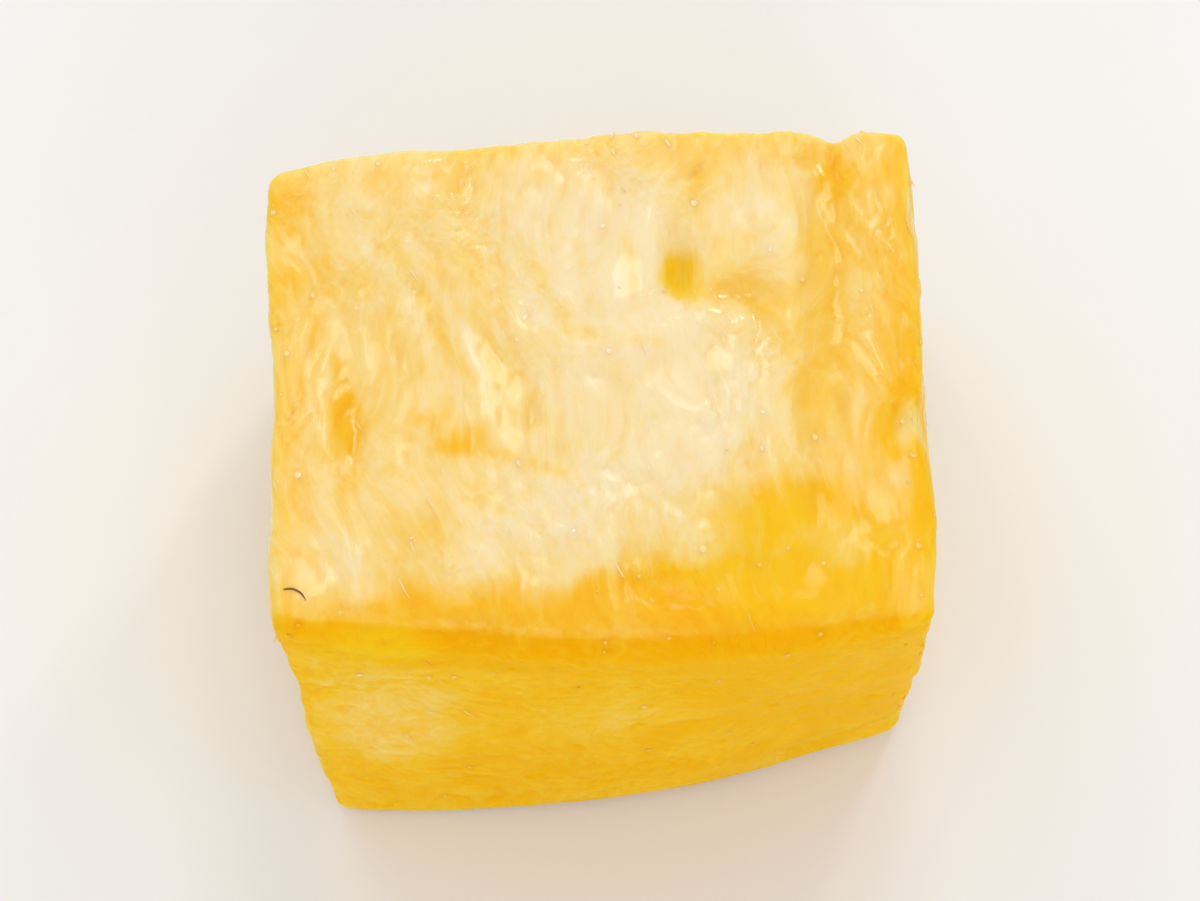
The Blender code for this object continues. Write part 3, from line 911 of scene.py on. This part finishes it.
def flesh_material():
    """Wet, translucent flesh whose yellow follows how ripe it is, and the painted shade and glint stored with that.
    """
    material, tree, shader = new_material("wet_flesh")
    position = add_node(tree, "ShaderNodeTexCoord").outputs["Object"]
    broad = use_group(tree, streaks, {"Position": position, "Spacing": 1.3 * MM, "Length": 6.0 * MM, "Seed": 1.0})
    fine = use_group(tree, streaks, {"Position": position, "Spacing": 0.34 * MM, "Length": 3.4 * MM, "Seed": 4.0})
    long = use_group(tree, streaks, {"Position": position, "Spacing": 0.9 * MM, "Length": 16.0 * MM, "Seed": 6.0})
    small = use_group(tree, cells, {"Position": position, "Size": 0.34 * MM, "Length": 0.9 * MM})
    lumps = stretched_place(tree, position, 1.7 * MM, 2.4 * MM)
    mottle = noise_value(tree, lumps, detail=3.0, roughness=0.6, seed=9.0)

    curd = noise_value(tree, position, scale=1 / CURD_SIZE, detail=2.0, roughness=0.6, seed=14.0)

    ripeness_and_painted_light = stored(tree, "ripeness_and_painted_light")
    for part in (
        swing(tree, curd, 0.20),
        swing(tree, broad["Streak"], 0.12),
        swing(tree, fine["Streak"], 0.03),
        swing(tree, small["Tint"], 0.06),
        swing(tree, mottle, 0.40),
        swing(tree, stored(tree, "broad_rise"), -0.14),
        swing(tree, stored(tree, "fine_rise"), -0.08),
        calc(tree, "MULTIPLY", stored(tree, "furrow"), 0.06),
        calc(tree, "MULTIPLY", long["Line"], -0.06),
    ):
        ripeness_and_painted_light = calc(tree, "ADD", ripeness_and_painted_light, part)
    feed(tree, shader.inputs["Base Color"], flesh_colour(tree, ripeness_and_painted_light))

    height = calc(tree, "ADD", fine["Streak"], calc(tree, "MULTIPLY", small["Bulge"], 0.9))
    bump = add_node(tree, "ShaderNodeBump", {"Height": height, "Strength": 0.8, "Distance": BUMP_DEPTH})
    feed(tree, shader.inputs["Normal"], bump.outputs[0])
    soaked = remap(tree, ripeness_and_painted_light, 0.25, 0.75)
    feed(tree, shader.inputs["Roughness"], remap(tree, soaked, 0.0, 1.0, 0.55, 0.36, smooth=False))
    puddles = noise_value(tree, lumps, scale=0.7, detail=1.0, seed=12.0)
    film = remap(tree, calc(tree, "ADD", puddles, swing(tree, soaked, 0.10)), 0.36, 0.62, 0.15, 1.0)
    feed(tree, shader.inputs["Coat Weight"], calc(tree, "MULTIPLY", film, stored(tree, "wetness")))
    shader.inputs["Coat Roughness"].default_value = 0.07
    shader.inputs["Coat IOR"].default_value = 1.34
    shader.inputs["IOR"].default_value = 1.05
    shader.inputs["Subsurface Weight"].default_value = 0.75
    shader.inputs["Subsurface Radius"].default_value = SCATTER_COLOUR
    shader.inputs["Subsurface Scale"].default_value = SCATTER_DEPTH
    shader.inputs["Metallic"].default_value = 0.0
    return material


flesh = flesh_material()
print("material:", flesh.name, "with", len(flesh.node_tree.nodes), "nodes")


# %% [markdown]
# Now the cage can become the finished surface. The Subdivision Surface and the relief are
# modifiers on it. Evaluating the object gives their result as a plain mesh, which is what the
# finished piece holds, so nothing is left to change later.

# %% The finished flesh
TORN_PATCH = 4.0 * MM
TORN_ON_FACES = 0.25
TORN_FOOT = 1.8 * MM


def set_inputs(modifier, values):
    """Sets a Geometry Nodes modifier's inputs by name, through their identifiers."""
    for item in modifier.node_group.interface.items_tree:
        if item.item_type == "SOCKET" and item.in_out == "INPUT" and item.name in values:
            modifier[item.identifier] = values[item.name]


def link(name, data):
    """A new object at the origin that holds this data, in the scene."""
    made = bpy.data.objects.new(name, data)
    bpy.context.scene.collection.objects.link(made)
    return made


def evaluated_mesh(source, name):
    """What an object looks like with all its modifiers, as a plain mesh of its own."""
    graph = bpy.context.evaluated_depsgraph_get()
    mesh = bpy.data.meshes.new_from_object(source.evaluated_get(graph))
    mesh.name = name
    return mesh


def belongs(piece, stands_for_node=False):
    """Ties a finished piece to its body in the frame, and hides the solid of the node that it stands for, if it
    stands for one.
    """
    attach(piece, BODY)
    if stands_for_node:
        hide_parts(NODE)


def read_from_points(mesh, name):
    """The numbers stored on a mesh's points under a name."""
    values = np.zeros(len(mesh.vertices), np.float32)
    mesh.attributes[name].data.foreach_get("value", values)
    return values


def torn_share(points, edge):
    """How torn the flesh is at each point: most at the cut edges, and in patches."""
    patches = np.array([noise.noise(Vector(point) / TORN_PATCH) for point in points])
    patches = np.clip(0.4 + 1.4 * patches, 0.0, 1.0)
    above_foot = np.clip(points[:, 2] / TORN_FOOT - 1.0, 0.0, 1.0)
    return above_foot * patches * (TORN_ON_FACES + (1.0 - TORN_ON_FACES) * edge)


def finished_flesh():
    """The cage, subdivided once, with the fine relief on it, and how ripe it is with its painted shade and glint.
    """
    draft = link("flesh_draft", cage)
    smooth = draft.modifiers.new("smooth", "SUBSURF")
    smooth.levels = 1
    smooth.render_levels = 1
    fine = draft.modifiers.new("fine relief", "NODES")
    fine.node_group = fine_relief_tree(flesh)
    set_inputs(fine, dict(RELIEF_INPUTS))
    mesh = evaluated_mesh(draft, "flesh")
    bpy.data.objects.remove(draft)
    mesh.shade_smooth()
    points = coordinates(mesh)
    places = warped(points / MM)
    rind_side = read_from_points(mesh, "rind_side")
    ripest = RIPEST_ON_CUTS + (1.0 - RIPEST_ON_CUTS) * rind_side
    ripeness_and_painted_light = BASE_RIPENESS + RIND_SIDE_GOLD_AND_SHADE * rind_side + soft_spots(places, RIPENESS_AND_PAINTED_LIGHT_SPOTS + streak_spots(STREAKS_AND_PAINTED_SHADE_ON_TOP))
    wetness = BASE_WETNESS - RIND_SIDE_DRIER * rind_side + soft_spots(places, WETNESS_SPOTS)
    store_on_points(mesh, "ripeness_and_painted_light", np.minimum(ripeness_and_painted_light, ripest))
    store_on_points(mesh, "wetness", wetness)
    store_on_points(mesh, "lemon", soft_spots(places, LEMON_SPOTS))
    store_on_points(mesh, "torn", torn_share(points, read_from_points(mesh, "edge")))
    return link("flesh", mesh)


flesh_piece = finished_flesh()
print("flesh faces:", len(flesh_piece.data.polygons))
print("distance to the solid, in mm: mean %.3f, most %.3f" % tuple(
    1000 * value for value in distance_to_solid(flesh_piece.data, every=29)))
belongs(flesh_piece, stands_for_node=True)

# %% [markdown]
# ## Torn fibres
#
# A knife cuts most fibres and tears a few loose, mainly at the cut edges. They are pale threads
# a tenth of a millimetre thick that lie on the flesh along the grain, with one end lifted.
# Hundreds of them follow one rule, so Geometry Nodes scatters them: it strews points where the
# flesh is torn, lays one thread on each, and turns it along the fibres.

# %% The tree for torn fibres
STRAND_INPUTS = (
    ("Spread", 1.1 * MM),
    ("Length", 0.8 * MM),
    ("Thickness", 0.10 * MM),
    ("Lift", 0.05 * MM),
    ("Stray", 0.30),
    ("Seed", 5),
)


def strewn(tree, surface, spread, factor, seed):
    """Points on a surface, no two closer than spread, and fewer where factor is small."""
    inputs = {"Mesh": surface, "Distance Min": spread, "Density Factor": factor, "Seed": seed}
    inputs["Density Max"] = calc(tree, "DIVIDE", 1.0, calc(tree, "MULTIPLY", spread, spread))
    node = add_node(tree, "GeometryNodeDistributePointsOnFaces", inputs, distribute_method="POISSON")
    return node.outputs["Points"], node.outputs["Normal"]


def point_value(tree, name):
    """A number that was stored on the mesh's points, as a field."""
    return add_node(tree, "GeometryNodeInputNamedAttribute", {"Name": name}, data_type="FLOAT").outputs[0]


def random_between(tree, low, high, seed):
    """A random vector between two, another for each point."""
    inputs = {0: low, 1: high, "Seed": seed}
    return add_node(tree, "FunctionNodeRandomValue", inputs, data_type="FLOAT_VECTOR").outputs[0]


def along_grain(tree, normal, stray, seed):
    """A rotation whose X runs along the fibres, strayed a little, and whose Z is the normal."""
    position = add_node(tree, "GeometryNodeInputPosition").outputs[0]
    from_core = calc_vector(tree, "SUBTRACT", position, tuple(core_place))
    out = calc_vector(tree, "SCALE", tuple(OUTWARDS))
    feed(tree, out.node.inputs["Scale"], calc_vector(tree, "DOT_PRODUCT", from_core, tuple(OUTWARDS)))
    upright = calc_vector(tree, "MULTIPLY", from_core, (0.0, 0.0, 1.0))
    radial = calc_vector(tree, "NORMALIZE", calc_vector(tree, "ADD", out, upright))
    push = calc_vector(tree, "SCALE", random_between(tree, (-1.0,) * 3, (1.0,) * 3, seed))
    feed(tree, push.node.inputs["Scale"], stray)
    towards = calc_vector(tree, "ADD", radial, push)
    inputs = {"Vector": towards}
    turned = add_node(tree, "FunctionNodeAlignRotationToVector", inputs, axis="X").outputs[0]
    inputs = {"Rotation": turned, "Vector": normal}
    return add_node(tree, "FunctionNodeAlignRotationToVector", inputs, axis="Z", pivot_axis="AUTO").outputs[0]


def strand_shape(tree, given):
    """One thread: a curved tube along X that tapers to a point and ends lifted."""
    middle = add_node(tree, "ShaderNodeCombineXYZ", {0: calc(tree, "MULTIPLY", given["Length"], 0.5)})
    side = calc(tree, "MULTIPLY", given["Length"], 0.15)
    end = add_node(tree, "ShaderNodeCombineXYZ", {0: given["Length"], 1: side, 2: given["Lift"]})
    inputs = {"Resolution": 5, "Start": (0.0, 0.0, -0.04 * MM), "Middle": middle.outputs[0], "End": end.outputs[0]}
    line = add_node(tree, "GeometryNodeCurveQuadraticBezier", inputs).outputs[0]
    along = add_node(tree, "GeometryNodeSplineParameter").outputs["Factor"]
    half = calc(tree, "MULTIPLY", given["Thickness"], 0.5)
    radius = calc(tree, "MULTIPLY", half, remap(tree, along, 0.2, 1.0, 1.0, 0.2))
    ring = add_node(tree, "GeometryNodeCurvePrimitiveCircle", {"Resolution": 5, "Radius": 1.0}).outputs[0]
    inputs = {"Curve": line, "Profile Curve": ring, "Scale": radius, "Fill Caps": True}
    return add_node(tree, "GeometryNodeCurveToMesh", inputs).outputs[0]


def torn_fibre_tree(material):
    """Strews threads over torn flesh and leaves only the threads."""
    tree, given = new_tree("torn_fibres", STRAND_INPUTS)
    points, normal = strewn(tree, given["Geometry"], given["Spread"], point_value(tree, "torn"), given["Seed"])
    inputs = {"Points": points, "Instance": strand_shape(tree, given)}
    inputs["Rotation"] = along_grain(tree, normal, given["Stray"], given["Seed"])
    inputs["Scale"] = random_between(tree, (0.35, 0.6, 0.6), (1.3, 1.2, 1.2), given["Seed"])
    laid = add_node(tree, "GeometryNodeInstanceOnPoints", inputs).outputs[0]
    end_tree(tree, laid, material)
    return tree


# %% [markdown]
# ## Pulp
#
# Burst cells leave crumbs of pulp on the torn flesh. Each is a tiny uneven lump, far smaller
# than a grain of sugar. They are strewn like the fibres, and once they are real faces a noise
# moves their points, so that no two are alike.

# %% The tree for pulp
PULP_INPUTS = (
    ("Spread", 0.60 * MM),
    ("Radius", 0.10 * MM),
    ("Unevenness", 0.05 * MM),
    ("Seed", 8),
)


def pulp_tree(material):
    """Strews small lumps over torn flesh and leaves only the lumps."""
    tree, given = new_tree("pulp", PULP_INPUTS)
    torn = calc(tree, "POWER", point_value(tree, "torn"), 2.0)
    points, _ = strewn(tree, given["Geometry"], given["Spread"], torn, given["Seed"])
    ball = add_node(tree, "GeometryNodeMeshUVSphere", {"Radius": given["Radius"], "Segments": 8, "Rings": 5})
    inputs = {"Points": points, "Instance": ball.outputs[0]}
    inputs["Rotation"] = random_between(tree, (0.0,) * 3, (math.tau,) * 3, given["Seed"])
    inputs["Scale"] = random_between(tree, (0.4, 0.4, 0.4), (1.9, 1.0, 1.0), calc(tree, "ADD", given["Seed"], 1.0))
    laid = add_node(tree, "GeometryNodeInstanceOnPoints", inputs).outputs[0]
    real = add_node(tree, "GeometryNodeRealizeInstances", {0: laid}).outputs[0]
    position = add_node(tree, "GeometryNodeInputPosition").outputs[0]
    inputs = {"Vector": position, "Scale": 0.5 / PULP_INPUTS[1][1], "Detail": 1.0}
    push = add_node(tree, "ShaderNodeTexNoise", inputs).outputs["Color"]
    offset = calc_vector(tree, "SCALE", calc_vector(tree, "SUBTRACT", push, (0.5, 0.5, 0.5)))
    feed(tree, offset.node.inputs["Scale"], calc(tree, "MULTIPLY", given["Unevenness"], 4.0))
    uneven = add_node(tree, "GeometryNodeSetPosition", {"Geometry": real, "Offset": offset}).outputs[0]
    smooth = add_node(tree, "GeometryNodeSetShadeSmooth", {"Geometry": uneven}).outputs[0]
    end_tree(tree, smooth, material)
    return tree


# %% [markdown]
# ## Juice beads
#
# Where the film of juice breaks up it stands in small flat drops. Each is a sphere pressed flat
# on the flesh and sunk in it a little, so that it meets the surface at a wetting angle.

# %% The tree for juice beads
BEAD_INPUTS = (
    ("Spread", 1.3 * MM),
    ("Radius", 0.13 * MM),
    ("Flatness", 0.32),
    ("Share", 0.20),
    ("Seed", 21),
)


def bead_tree(material):
    """Strews flat drops over the flesh that faces up or sideways and leaves only the drops."""
    tree, given = new_tree("juice_beads", BEAD_INPUTS)
    normal_here = add_node(tree, "GeometryNodeInputNormal").outputs[0]
    facing_up = calc_vector(tree, "DOT_PRODUCT", normal_here, (0.0, 0.0, 1.0))
    wet = calc(tree, "MULTIPLY", remap(tree, facing_up, -0.3, 0.4, 0.0, 1.0), given["Share"])
    points, normal = strewn(tree, given["Geometry"], given["Spread"], wet, given["Seed"])
    drop = add_node(tree, "GeometryNodeMeshIcoSphere", {"Radius": given["Radius"], "Subdivisions": 3})
    inputs = {"Vector": normal}
    upright = add_node(tree, "FunctionNodeAlignRotationToVector", inputs, axis="Z").outputs[0]
    size = add_node(tree, "FunctionNodeRandomValue", {2: 0.0, 3: 1.0, "Seed": given["Seed"]}).outputs[1]
    size = remap(tree, calc(tree, "POWER", size, 3.0), 0.0, 1.0, 0.70, 1.2, smooth=False)
    height = calc(tree, "MULTIPLY", size, given["Flatness"])
    scale = add_node(tree, "ShaderNodeCombineXYZ", {0: size, 1: size, 2: height}).outputs[0]
    inputs = {"Points": points, "Instance": drop.outputs[0], "Rotation": upright, "Scale": scale}
    laid = add_node(tree, "GeometryNodeInstanceOnPoints", inputs).outputs[0]
    smooth = add_node(tree, "GeometryNodeSetShadeSmooth", {"Geometry": laid}).outputs[0]
    end_tree(tree, smooth, material)
    return tree


# %% [markdown]
# Their materials use the same node groups as the flesh where they can. Torn fibres hold no
# juice, so they are paler than the flesh and less clear. The drops are thin yellow juice. A drop
# this small lets the flesh below show as it is, and only its gleam tells it apart, so it takes
# the yellow of the flesh and a hard, clear coat. All of them read how ripe the flesh is at the
# point they were strewn on, painted shade and glint included.

# %% Materials of the small pieces
PULP_PALER = 0.20
DROPS_PALER = 0.08


def torn_material():
    """Pale torn fibres and pulp, more golden here and there."""
    material, tree, shader = new_material("torn_pulp")
    position = add_node(tree, "ShaderNodeTexCoord").outputs["Object"]
    patch = use_group(tree, streaks, {"Position": position, "Spacing": 1.2 * MM, "Length": 3.0 * MM, "Seed": 3.0})
    paler = calc(tree, "ADD", stored(tree, "ripeness_and_painted_light"), swing(tree, patch["Streak"], 0.12))
    feed(tree, shader.inputs["Base Color"], flesh_colour(tree, calc(tree, "SUBTRACT", paler, PULP_PALER)))
    feed(tree, shader.inputs["Roughness"], remap(tree, patch["Streak"], 0.0, 1.0, 0.45, 0.30, smooth=False))
    shader.inputs["Coat Weight"].default_value = 0.4
    shader.inputs["Coat Roughness"].default_value = 0.10
    shader.inputs["IOR"].default_value = 1.05
    return material


def juice_material():
    """Glossy drops as yellow as the flesh they lie on, each a little riper or paler."""
    material, tree, shader = new_material("juice")
    position = add_node(tree, "ShaderNodeTexCoord").outputs["Object"]
    tone = noise_value(tree, calc_vector(tree, "MULTIPLY", position, (1 / (2.0 * MM),) * 3), seed=15.0)
    riper = calc(tree, "ADD", stored(tree, "ripeness_and_painted_light"), swing(tree, tone, 0.10))
    paler = calc(tree, "SUBTRACT", riper, DROPS_PALER)
    feed(tree, shader.inputs["Base Color"], flesh_colour(tree, paler))
    shader.inputs["Roughness"].default_value = 0.05
    shader.inputs["IOR"].default_value = 1.34
    shader.inputs["Coat Weight"].default_value = 1.0
    shader.inputs["Coat Roughness"].default_value = 0.03
    return material


torn_pulp = torn_material()
juice = juice_material()
print("materials:", torn_pulp.name, juice.name)


# %% Strew them over the flesh
def only_material(mesh, material):
    """Gives every face of a mesh this one material."""
    mesh.polygons.foreach_set("material_index", np.zeros(len(mesh.polygons), np.int32))
    mesh.materials.clear()
    mesh.materials.append(material)


def strewn_piece(name, tree, material, inputs):
    """What a tree strews over the flesh, as a plain mesh piece of its own."""
    draft = link(name + "_draft", flesh_piece.data.copy())
    modifier = draft.modifiers.new(name, "NODES")
    modifier.node_group = tree
    set_inputs(modifier, dict(inputs))
    mesh = evaluated_mesh(draft, name)
    bpy.data.objects.remove(draft)
    only_material(mesh, material)
    mesh.shade_smooth()
    piece = link(name, mesh)
    belongs(piece)
    print(name, "faces:", len(mesh.polygons))
    return piece


strewn_piece("torn_fibres", torn_fibre_tree(torn_pulp), torn_pulp, STRAND_INPUTS)
strewn_piece("pulp", pulp_tree(torn_pulp), torn_pulp, PULP_INPUTS)
strewn_piece("juice_beads", bead_tree(juice), juice, BEAD_INPUTS)

# %% [markdown]
# ## A hair of the rind
#
# Peeling leaves a stray brown hair now and then, and this cube has one near its left front
# corner. It is a thin curved thread, so a curve with a round section is the simplest way: a few
# points, a thickness that tapers, and the points dropped onto the flesh from above.

# %% The brown hair
HAIR_PLACES = ((-11.95, -7.75), (-11.7, -7.72), (-11.45, -7.80), (-11.2, -7.98), (-11.1, -8.22))
HAIR_RADII = (0.5, 1.0, 1.0, 0.8, 0.3)
HAIR_RADIUS = 0.045 * MM
HAIR_BROWN = (0.110, 0.045, 0.012, 1.0)
HAIR_LIGHT_BROWN = (0.300, 0.140, 0.040, 1.0)


def hair_material():
    """Dry brown hair, lighter along some of its length."""
    material, tree, shader = new_material("rind_hair")
    position = add_node(tree, "ShaderNodeTexCoord").outputs["Object"]
    tone = noise_value(tree, calc_vector(tree, "MULTIPLY", position, (1 / (0.3 * MM),) * 3), seed=2.0)
    feed(tree, shader.inputs["Base Color"], colour_ramp(tree, tone, ((0.35, HAIR_BROWN), (0.65, HAIR_LIGHT_BROWN))))
    feed(tree, shader.inputs["Roughness"], remap(tree, tone, 0.3, 0.7, 0.40, 0.60))
    return material


def surface_search(mesh):
    """A search tree over a mesh's surface."""
    polygons = [tuple(polygon.vertices) for polygon in mesh.polygons]
    return bvhtree.BVHTree.FromPolygons([vertex.co for vertex in mesh.vertices], polygons)


def brown_hair():
    """A short curved hair that lies on the top of the flesh."""
    surface = surface_search(flesh_piece.data)
    curve = bpy.data.curves.new("brown_hair", "CURVE")
    curve.dimensions = "3D"
    curve.bevel_depth = HAIR_RADIUS
    curve.bevel_resolution = 2
    curve.use_fill_caps = True
    spline = curve.splines.new("NURBS")
    spline.points.add(len(HAIR_PLACES) - 1)
    spline.use_endpoint_u = True
    spline.order_u = 3
    for point, place, radius in zip(spline.points, HAIR_PLACES, HAIR_RADII):
        above = mm(*place, 40.0)
        landed = surface.ray_cast(above, -UP)[0]
        point.co = (*(landed + 0.5 * HAIR_RADIUS * UP), 1.0)
        point.radius = radius
    draft = link("brown_hair_draft", curve)
    mesh = evaluated_mesh(draft, "brown_hair")
    bpy.data.objects.remove(draft)
    only_material(mesh, hair_material())
    mesh.shade_smooth()
    return link("brown_hair", mesh)


hair = brown_hair()
belongs(hair)
print("hair faces:", len(hair.data.polygons))

# %% [markdown]
# ## Floor, light and camera
#
# Wet fruit is shown on a pale surface in soft light from above. A white world gives light from
# all round. A softbox behind the cube, where its top mirrors it towards the camera, makes the
# wet glints, and a wide one on the left gives the shadows a side.

# %% Floor and world
FLOOR_RADIUS = 1.2
FLOOR_COLOUR = (0.86, 0.86, 0.85, 1.0)
WORLD_STRENGTH = 0.80


def pale_floor():
    """A round pale floor whose tone varies a little."""
    grid = bmesh.new()
    bmesh.ops.create_circle(grid, cap_ends=True, segments=96, radius=FLOOR_RADIUS)
    mesh = bpy.data.meshes.new("floor")
    grid.to_mesh(mesh)
    grid.free()
    material, tree, shader = new_material("pale_floor")
    position = add_node(tree, "ShaderNodeTexCoord").outputs["Object"]
    tone = noise_value(tree, calc_vector(tree, "MULTIPLY", position, (1 / 0.02,) * 3), detail=4.0)
    feed(tree, shader.inputs["Roughness"], remap(tree, tone, 0.3, 0.7, 0.45, 0.60))
    shader.inputs["Base Color"].default_value = FLOOR_COLOUR
    mesh.materials.append(material)
    return link("floor", mesh)


floor = pale_floor()

world = bpy.data.worlds.new("studio")
world.use_nodes = True
world.node_tree.nodes["Background"].inputs["Color"].default_value = (1.0, 1.0, 1.0, 1.0)
world.node_tree.nodes["Background"].inputs["Strength"].default_value = WORLD_STRENGTH
bpy.context.scene.world = world
bpy.context.scene.view_settings.view_transform = "Standard"
print("floor radius, in m:", FLOOR_RADIUS)


# %% Softboxes
def softbox(name, azimuth, elevation, distance, size, radiance):
    """A square area light that faces the cube, given by where it stands and how bright it looks."""
    light = bpy.data.lights.new(name, "AREA")
    light.shape = "SQUARE"
    light.size = size
    light.energy = radiance * math.pi * size**2
    lamp = link(name, light)
    turn, rise = math.radians(azimuth), math.radians(elevation)
    towards = Vector((math.sin(turn) * math.cos(rise), -math.cos(turn) * math.cos(rise), math.sin(rise)))
    middle = Vector((0.0, 0.0, HEIGHT / 2))
    lamp.location = middle + distance * towards
    lamp.rotation_euler = (-towards).to_track_quat("-Z", "Y").to_euler()
    return lamp


softbox("glint_box", azimuth=170, elevation=66, distance=0.5, size=0.10, radiance=7.0)
softbox("sparkle_box", azimuth=150, elevation=44, distance=0.6, size=0.07, radiance=20.0)
softbox("back_box", azimuth=-150, elevation=35, distance=0.7, size=0.30, radiance=1.6)
softbox("front_box", azimuth=10, elevation=30, distance=0.7, size=0.35, radiance=1.8)

# %% [markdown]
# The camera looks down steeply, as one does at food on a table, so the top shows whole and the
# front side as a narrow band. A long lens from far off keeps the cube's edges nearly parallel.

# %% The camera
VIEW_ELEVATION = math.radians(73)
VIEW_DISTANCE = 0.60
FRAME_WIDTH = 46.0 * MM
SENSOR_WIDTH = 36.0
AIM = Vector((0.0, 0.0, 13.0)) * MM


def studio_camera():
    """A camera in front of the cube and above it, that frames it in the middle."""
    data = bpy.data.cameras.new("camera")
    data.sensor_width = SENSOR_WIDTH
    data.lens = SENSOR_WIDTH * VIEW_DISTANCE / FRAME_WIDTH
    data.clip_end = 10.0
    camera = link("camera", data)
    towards = Vector((0.0, -math.cos(VIEW_ELEVATION), math.sin(VIEW_ELEVATION)))
    camera.location = AIM + VIEW_DISTANCE * towards
    camera.rotation_euler = (-towards).to_track_quat("-Z", "Y").to_euler()
    return camera


bpy.context.scene.camera = studio_camera()
print("lens, in mm:", round(bpy.context.scene.camera.data.lens))
